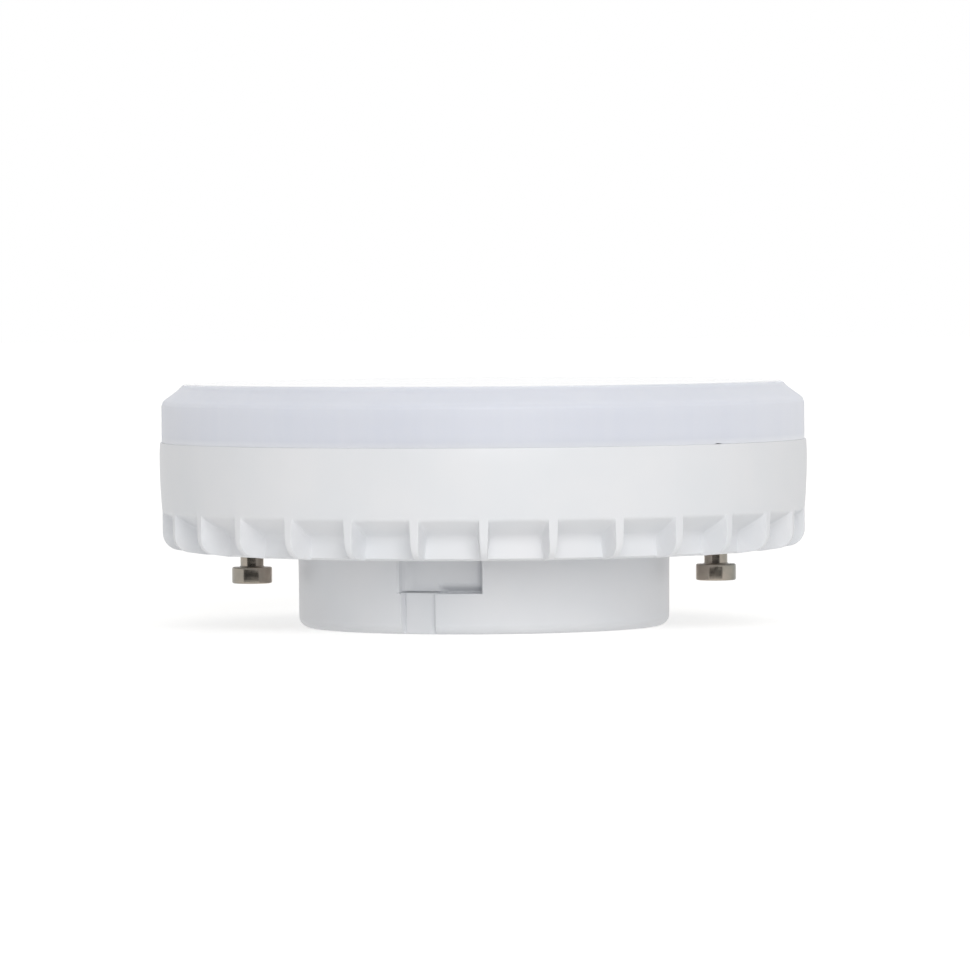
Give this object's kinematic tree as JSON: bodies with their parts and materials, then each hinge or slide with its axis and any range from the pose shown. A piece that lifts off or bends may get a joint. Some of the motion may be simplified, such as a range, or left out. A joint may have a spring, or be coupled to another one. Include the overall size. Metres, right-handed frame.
{
  "type": "led disc lamp",
  "caption": "Flat round two-pin LED lamp: opal bevelled diffuser on a ribbed white housing with a round keyed cap boss and turned contact pins.",
  "frame": {"origin": "centre of the cap boss's flat end face, on which the lamp stands", "axes": "+Z along the lamp's axis from the cap to the diffuser, +X through the right contact pin, -Y through the front rib and its keyway"},
  "size_m": [0.0738, 0.0738, 0.0279],
  "materials": {
    "opal_plastic": "satin opal, faint blue cast",
    "white_plastic": "satin moulded white",
    "nickel_plate": "turned and nickel plated, slightly dull",
    "aluminium_sheet": "pressed mill finish",
    "white_board": "white solder mask on aluminium core",
    "led_package": "yellow phosphor window in a white package",
    "screw_steel": "zinc plated",
    "green_board": "green solder mask",
    "capacitor_sleeve": "dark shrink sleeve",
    "ferrite": "matt sintered ferrite",
    "film_case": "moulded case",
    "disc_coating": "dipped blue coating",
    "resistor_coating": "matt lacquer",
    "chip_plastic": "black moulding compound",
    "enamelled_copper": "enamelled winding wire",
    "wire_white": "insulated wire",
    "wire_red": "insulated wire",
    "wire_black": "insulated wire"
  },
  "bodies": {
    "root": {"diffuser": "opal_plastic", "housing": "white_plastic", "contact_pin_left": "nickel_plate", "contact_pin_right": "nickel_plate", "heat_sink": "aluminium_sheet", "led_board": "white_board", "led_01": "led_package", "led_02": "led_package", "led_03": "led_package", "led_04": "led_package", "led_05": "led_package", "led_06": "led_package", "led_07": "led_package", "led_08": "led_package", "led_09": "led_package", "led_10": "led_package", "led_11": "led_package", "led_12": "led_package", "led_13": "led_package", "led_14": "led_package", "led_15": "led_package", "led_16": "led_package", "led_17": "led_package", "led_18": "led_package", "board_screw_1": "screw_steel", "board_screw_2": "screw_steel", "board_screw_3": "screw_steel", "driver_board": "green_board", "input_capacitor": "capacitor_sleeve", "output_capacitor": "capacitor_sleeve", "filter_choke": "ferrite", "film_capacitor": "film_case", "varistor": "disc_coating", "fusible_resistor": "resistor_coating", "transformer_core_1": "ferrite", "transformer_core_2": "ferrite", "transformer_bobbin": "chip_plastic", "transformer_winding": "enamelled_copper", "bridge_rectifier": "chip_plastic", "driver_chip": "chip_plastic", "output_diode": "chip_plastic", "chip_resistor_1": "chip_plastic", "chip_resistor_2": "chip_plastic", "chip_resistor_3": "chip_plastic", "chip_resistor_4": "chip_plastic", "input_wire_left": "wire_white", "input_wire_right": "wire_white", "output_wire_positive": "wire_red", "output_wire_negative": "wire_black"}
  },
  "joints": []
}
